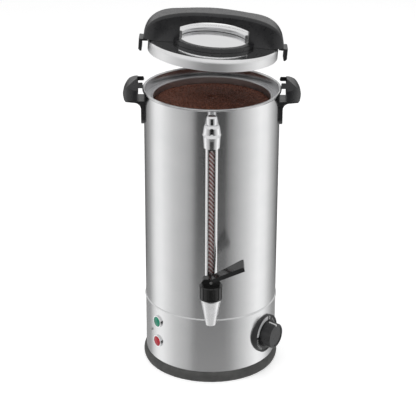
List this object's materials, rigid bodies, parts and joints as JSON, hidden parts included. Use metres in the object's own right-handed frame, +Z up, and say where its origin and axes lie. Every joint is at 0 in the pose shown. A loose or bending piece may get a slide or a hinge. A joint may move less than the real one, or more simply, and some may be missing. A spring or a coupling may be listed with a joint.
{
  "type": "coffee urn",
  "caption": "Tall steel coffee urn with a lever tap, a sight gauge, a thermostat knob, signal lamps and a lift-off lid with an arched handle.",
  "frame": {"origin": "centre of the base ring's underside, on the table", "axes": "+Z up through the body's axis, -Y towards the tap, +X to the right seen from the tap"},
  "size_m": [0.3, 0.3018, 0.6353],
  "materials": {
    "brushed_steel": "vertical brushed",
    "bright_steel": "polished",
    "plain_steel": "satin",
    "screw_steel": "plain",
    "chrome": "polished",
    "black_plastic": "satin",
    "inner_plastic": "matt",
    "pale_trim": "gloss",
    "green_lens": "gloss",
    "red_lens": "gloss",
    "brass": "plated",
    "rubber": "matt",
    "clear_glass": "clear",
    "gauge_stripe": "printed",
    "coffee": "granular"
  },
  "bodies": {
    "urn": {"base_ring": "black_plastic", "base_skirt": "brushed_steel", "bottom_cover": "plain_steel", "bottom_screws": "screw_steel", "dial_bezel": "black_plastic", "gauge_head": "chrome", "gauge_nut": "screw_steel", "gauge_plug": "chrome", "gauge_seals": "rubber", "gauge_shield": "chrome", "gauge_stripe": "gauge_stripe", "gauge_tube": "clear_glass", "green_lens": "green_lens", "handle_screws": "screw_steel", "heat_spreader": "plain_steel", "heating_element": "plain_steel", "inlet_pins": "brass", "inlet_screws": "screw_steel", "inner_pot": "plain_steel", "lamp_bezels": "pale_trim", "lamp_sockets": "inner_plastic", "left_handle": "black_plastic", "outer_shell": "brushed_steel", "power_inlet": "black_plastic", "red_lens": "red_lens", "right_handle": "black_plastic", "rim_ring": "brushed_steel", "rubber_pads": "rubber", "skirt_screws": "screw_steel", "tap_body": "chrome", "tap_bonnet": "black_plastic", "tap_nut": "screw_steel", "tap_washers": "rubber", "terminal_block": "inner_plastic", "thermal_cutout": "plain_steel", "thermostat_body": "inner_plastic", "thermostat_screws": "screw_steel", "thermostat_sensor": "plain_steel"},
    "basket": {"coffee_basket": "plain_steel", "pump_tube": "plain_steel", "pump_bell": "plain_steel", "valve_disc": "plain_steel", "coffee_grounds": "coffee"},
    "lid": {"lid_shell": "bright_steel"},
    "lid_grip": {"lid_handle": "black_plastic", "lid_screws": "screw_steel", "lid_washers": "plain_steel"},
    "tap_rod": {"tap_stem": "plain_steel", "tap_seat_cup": "rubber", "tap_spring": "plain_steel"},
    "tap_handle": {"tap_lever": "black_plastic", "tap_pin": "screw_steel"},
    "thermostat_dial": {"thermostat_spindle": "screw_steel", "thermostat_knob": "black_plastic", "knob_pointer": "pale_trim"}
  },
  "joints": [
    {"name": "basket_lift", "type": "slide", "parent": "urn", "child": "basket", "axis": [0, 0, 1], "range_m": [0, 0.42]},
    {"name": "lid_lift", "type": "hinge", "parent": "basket", "child": "lid", "pos_m": [1.07091, 0.09369, 0.515], "axis": [-0.0872, 0.9962, 0], "range_deg": [-4, 2]},
    {"name": "lid_lock", "type": "hinge", "parent": "lid", "child": "lid_grip", "pos_m": [0.00018, 0.00002, 0.55507], "axis": [0.0695, 0.0061, 0.9976], "range_deg": [-13, 13]},
    {"name": "tap_lift", "type": "slide", "parent": "urn", "child": "tap_rod", "axis": [0, 0, 1], "range_m": [0, 0.0055], "deforming": ["tap_spring"]},
    {"name": "tap_press", "type": "hinge", "parent": "tap_rod", "child": "tap_handle", "pos_m": [0, -0.1615, 0.217], "axis": [0, 1, 0], "range_deg": [0, 35], "stiffness_Nm_per_rad": 0.3, "springref_deg": -11.46},
    {"name": "thermostat_turn", "type": "hinge", "parent": "urn", "child": "thermostat_dial", "pos_m": [0.10777, -0.07269, 0.07], "axis": [-0.829, 0.5592, 0], "range_deg": [0, 270]}
  ],
  "couplings": [
    {"joint": "tap_lift", "follows": "tap_press", "m_per_rad": 0.00845}
  ]
}
